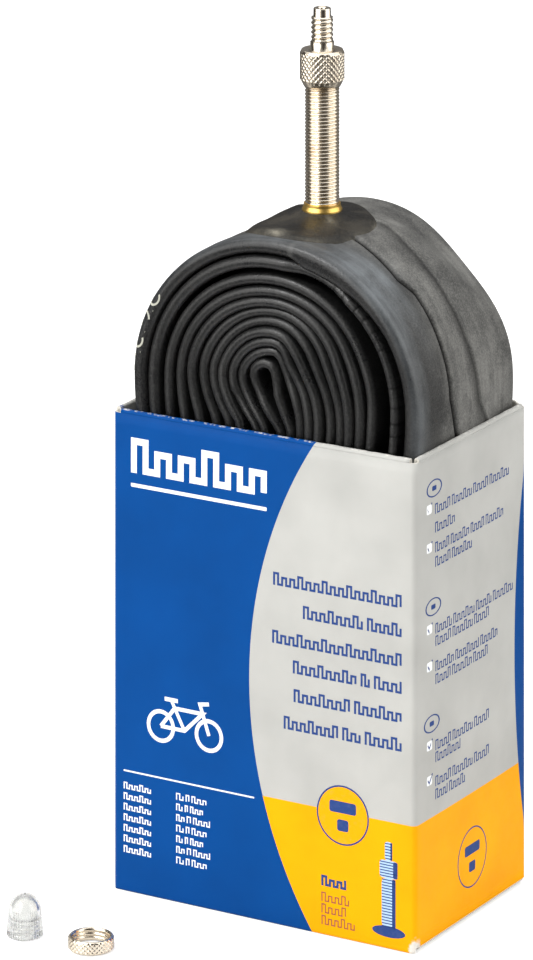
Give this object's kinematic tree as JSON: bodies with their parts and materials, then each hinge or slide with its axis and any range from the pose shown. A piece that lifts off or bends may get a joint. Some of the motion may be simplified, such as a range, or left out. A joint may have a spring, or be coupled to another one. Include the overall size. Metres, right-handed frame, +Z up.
{
  "type": "bicycle inner tube",
  "caption": "Rolled-up butyl bicycle inner tube with a threaded Woods valve, standing half out of its open paperboard carton, with loose rim nut and dust cap.",
  "frame": {"origin": "centre of the carton's underside, on the ground", "axes": "+X along the carton's front, +Y towards its back, +Z up along the valve"},
  "size_m": [0.0821, 0.0872, 0.1938],
  "materials": {
    "printed_board": "printed paperboard with a low sheen, blue, pale grey and orange",
    "plain_board": "bare white-lined paperboard",
    "butyl_rubber": "satin butyl rubber, dusted with talc",
    "patch_rubber": "brown-black vulcanised rubber",
    "seal_rubber": "black seal rubber",
    "nickel_plate": "bright nickel plate on brass",
    "bare_brass": "bare machined brass",
    "steel_ball": "ground steel",
    "clear_plastic": "clear moulded plastic"
  },
  "bodies": {
    "carton": {"carton_walls": "printed_board", "glue_flap": "plain_board", "top_panel": "printed_board", "top_dust_left": "printed_board", "top_dust_right": "printed_board", "bottom_panel": "printed_board", "bottom_dust_left": "plain_board", "bottom_dust_right": "plain_board"},
    "rolled_tube": {"inner_tube": "butyl_rubber", "valve_patch": "patch_rubber", "valve_stem": "nickel_plate", "stem_base_ring": "bare_brass"},
    "valve_core": {"core_body": "nickel_plate", "core_seal": "seal_rubber", "ball_retainer": "bare_brass"},
    "valve_ball": {"check_ball": "steel_ball"},
    "union_nut": {"union_nut": "nickel_plate"},
    "rim_nut": {"rim_nut": "nickel_plate"},
    "dust_cap": {"dust_cap": "clear_plastic"}
  },
  "joints": [
    {"name": "roll_slide", "type": "slide", "parent": "carton", "child": "rolled_tube", "axis": [0, 0, 1], "range_m": [-0.064, 0.045]},
    {"name": "core_rise", "type": "slide", "parent": "rolled_tube", "child": "valve_core", "axis": [0, 0, 1], "range_m": [0, 0.00397]},
    {"name": "union_nut_turn", "type": "hinge", "parent": "valve_core", "child": "union_nut", "pos_m": [0.00035, 0, 0.18], "axis": [0, 0, 1], "range_deg": [0, 1800]},
    {"name": "ball_lift", "type": "slide", "parent": "valve_core", "child": "valve_ball", "axis": [0, 0, 1], "range_m": [0, 0.0008]},
    {"name": "rim_nut_lift", "type": "slide", "parent": "carton", "child": "rim_nut", "axis": [0, 0, 1], "range_m": [0, 0.06]},
    {"name": "dust_cap_lift", "type": "slide", "parent": "carton", "child": "dust_cap", "axis": [0, 0, 1], "range_m": [0, 0.06]}
  ],
  "couplings": [
    {"joint": "union_nut_turn", "follows": "core_rise", "rad_per_m": 7915.8}
  ]
}
